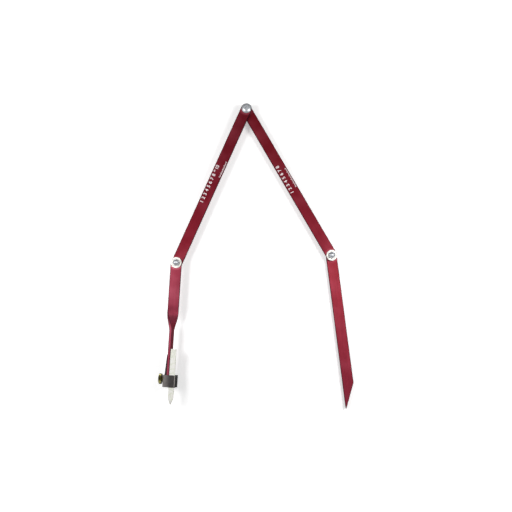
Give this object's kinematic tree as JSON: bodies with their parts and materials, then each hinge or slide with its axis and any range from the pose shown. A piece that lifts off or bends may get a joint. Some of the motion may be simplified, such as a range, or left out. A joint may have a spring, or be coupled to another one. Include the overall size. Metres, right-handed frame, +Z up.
{
  "type": "radius marker",
  "caption": "Folding marking tool: flat bars on friction pivots, a scribing point on one lower leg and a screw clamp with a flat marking stick on the other.",
  "frame": {"origin": "the end of the apex bolt, on the apex pivot's axis, in the level plane that the tool's lowest points reach", "axes": "+Z up through the flat bars, along the pivots' axes; +X from the holder leg's side to the point leg's side; -Y from the apex towards the ends of the legs"},
  "size_m": [0.4479, 0.7207, 0.0512],
  "materials": {
    "upper_left_arm_finish": "satin red anodised",
    "upper_right_arm_finish": "satin red anodised",
    "point_leg_finish": "satin red anodised",
    "holder_leg_finish": "satin red anodised",
    "apex_bolt_finish": "zinc plated",
    "apex_friction_washer_finish": "nylon",
    "apex_washer_finish": "zinc plated",
    "apex_lock_nut_finish": "zinc plated",
    "apex_lock_nut_insert_finish": "nylon",
    "left_elbow_bolt_finish": "zinc plated",
    "left_elbow_friction_washer_finish": "nylon",
    "left_elbow_washer_finish": "zinc plated",
    "left_elbow_cap_nut_finish": "zinc plated",
    "right_elbow_bolt_finish": "zinc plated",
    "right_elbow_friction_washer_finish": "nylon",
    "right_elbow_washer_finish": "zinc plated",
    "right_elbow_cap_nut_finish": "zinc plated",
    "clamp_sleeve_finish": "black oxide",
    "pressure_pad_finish": "black oxide",
    "thumb_screw_finish": "tarnished",
    "marking_stick_finish": "dry soapstone"
  },
  "bodies": {
    "upper_left": {"upper_left_arm": "upper_left_arm_finish", "apex_bolt": "apex_bolt_finish", "apex_washer": "apex_washer_finish", "apex_lock_nut": "apex_lock_nut_finish", "apex_lock_nut_insert": "apex_lock_nut_insert_finish", "left_elbow_bolt": "left_elbow_bolt_finish", "left_elbow_washer": "left_elbow_washer_finish", "left_elbow_cap_nut": "left_elbow_cap_nut_finish"},
    "upper_right": {"upper_right_arm": "upper_right_arm_finish", "apex_friction_washer": "apex_friction_washer_finish", "right_elbow_friction_washer": "right_elbow_friction_washer_finish"},
    "point_leg": {"point_leg": "point_leg_finish", "right_elbow_bolt": "right_elbow_bolt_finish", "right_elbow_washer": "right_elbow_washer_finish", "right_elbow_cap_nut": "right_elbow_cap_nut_finish"},
    "holder_leg": {"holder_leg": "holder_leg_finish", "left_elbow_friction_washer": "left_elbow_friction_washer_finish"},
    "clamp": {"clamp_sleeve": "clamp_sleeve_finish"},
    "pad": {"pressure_pad": "pressure_pad_finish"},
    "screw": {"thumb_screw": "thumb_screw_finish"},
    "stick": {"marking_stick": "marking_stick_finish"}
  },
  "joints": [
    {"name": "apex_hinge", "type": "hinge", "parent": "upper_left", "child": "upper_right", "pos_m": [0, 0, 0.0213], "axis": [0, 0, 1], "range_deg": [-49.1, 126.9]},
    {"name": "right_elbow", "type": "hinge", "parent": "upper_right", "child": "point_leg", "pos_m": [0.20074, -0.35336, 0.01235], "axis": [0, 0, 1], "range_deg": [-157.1, 202.9]},
    {"name": "left_elbow", "type": "hinge", "parent": "upper_left", "child": "holder_leg", "pos_m": [-0.16205, -0.37269, 0.03025], "axis": [0, 0, 1], "range_deg": [-186, 145]},
    {"name": "clamp_slide", "type": "slide", "parent": "holder_leg", "child": "clamp", "axis": [-0.0523, -0.9986, 0], "range_m": [-0.05, 0.008]},
    {"name": "stick_feed", "type": "slide", "parent": "clamp", "child": "stick", "axis": [-0.0523, -0.9986, 0], "range_m": [-0.035, 0.05]},
    {"name": "pad_press", "type": "slide", "parent": "clamp", "child": "pad", "axis": [0.9932, -0.052, 0.1045], "range_m": [-0.001, 0]},
    {"name": "screw_turn", "type": "hinge", "parent": "pad", "child": "screw", "pos_m": [-0.17602, -0.63933, 0.03472], "axis": [0.9932, -0.052, 0.1045], "range_deg": [-284.5, 1]}
  ],
  "couplings": [
    {"joint": "screw_turn", "follows": "pad_press", "rad_per_m": 4947.4}
  ]
}
